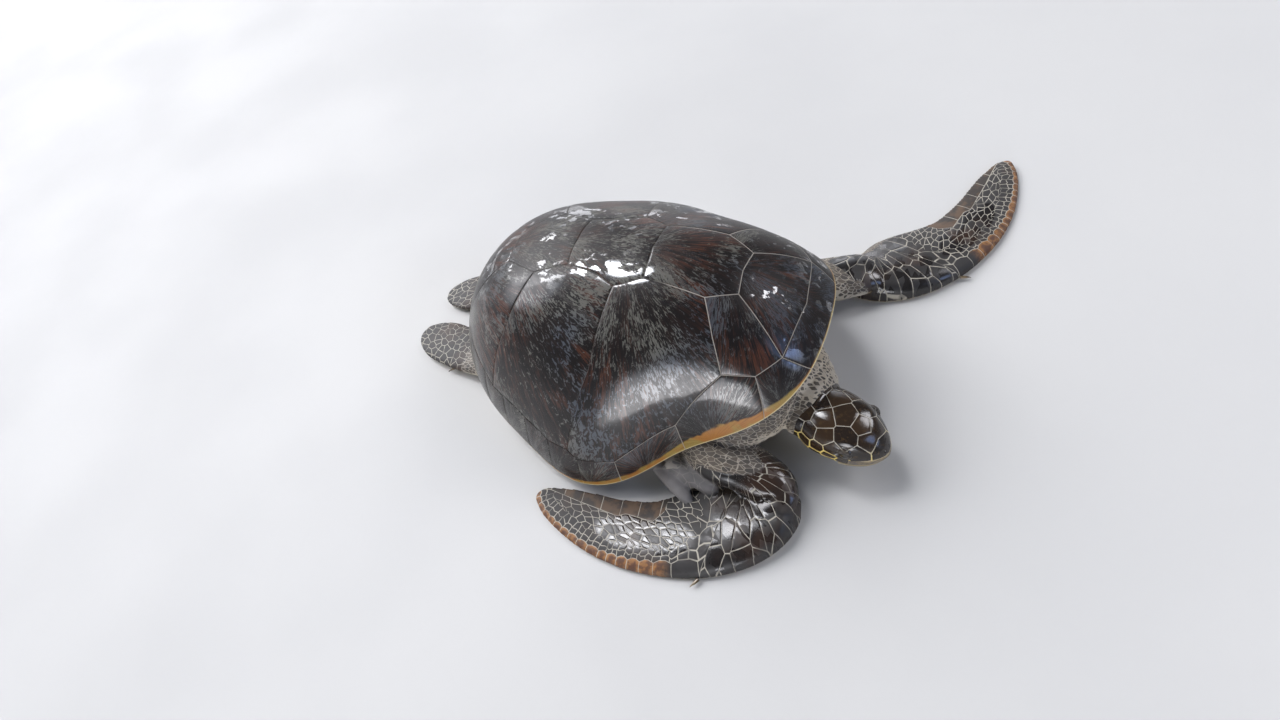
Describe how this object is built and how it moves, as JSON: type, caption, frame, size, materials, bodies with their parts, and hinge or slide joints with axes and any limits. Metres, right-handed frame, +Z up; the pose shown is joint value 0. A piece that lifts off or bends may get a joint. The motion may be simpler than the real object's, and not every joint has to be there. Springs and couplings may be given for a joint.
{
  "type": "sea turtle",
  "caption": "Life-size still model of an adult green sea turtle lying on the ground, its head forward and low and one front flipper folded back along the shell.",
  "frame": {"origin": "centre of the bounding box on the ground: the floor the turtle lies on is z = 0", "axes": "+X from tail to head along the shell, +Y to the turtle's left, +Z up"},
  "size_m": [1.6026, 1.4238, 0.4384],
  "materials": {
    "shell": "wet gloss",
    "belly_shell": "satin",
    "skin": "wet leathery",
    "beak": "satin horn",
    "eye": "wet gloss",
    "claw": "satin horn"
  },
  "bodies": {
    "root": {"nuchal": "shell", "vertebral_1": "shell", "vertebral_2": "shell", "vertebral_3": "shell", "vertebral_4": "shell", "vertebral_5": "shell", "costal_left_1": "shell", "costal_left_2": "shell", "costal_left_3": "shell", "costal_left_4": "shell", "marginal_left_1": "shell", "marginal_left_2": "shell", "marginal_left_3": "shell", "marginal_left_4": "shell", "marginal_left_5": "shell", "marginal_left_6": "shell", "marginal_left_7": "shell", "marginal_left_8": "shell", "marginal_left_9": "shell", "marginal_left_10": "shell", "marginal_left_11": "shell", "marginal_left_12": "shell", "costal_right_1": "shell", "costal_right_2": "shell", "costal_right_3": "shell", "costal_right_4": "shell", "marginal_right_1": "shell", "marginal_right_2": "shell", "marginal_right_3": "shell", "marginal_right_4": "shell", "marginal_right_5": "shell", "marginal_right_6": "shell", "marginal_right_7": "shell", "marginal_right_8": "shell", "marginal_right_9": "shell", "marginal_right_10": "shell", "marginal_right_11": "shell", "marginal_right_12": "shell", "plastron_gular": "belly_shell", "plastron_humeral": "belly_shell", "plastron_pectoral": "belly_shell", "plastron_abdominal": "belly_shell", "plastron_femoral": "belly_shell", "plastron_anal": "belly_shell", "trunk": "skin", "neck": "skin", "head": "skin", "front_flipper_left": "skin", "front_flipper_right": "skin", "rear_flipper_left": "skin", "rear_flipper_right": "skin", "tail": "skin", "beak_upper": "beak", "beak_lower": "beak", "eye_left": "eye", "eye_right": "eye", "claw_front_left": "claw", "claw_front_right": "claw", "claw_rear_left": "claw", "claw_rear_right": "claw"}
  },
  "joints": []
}
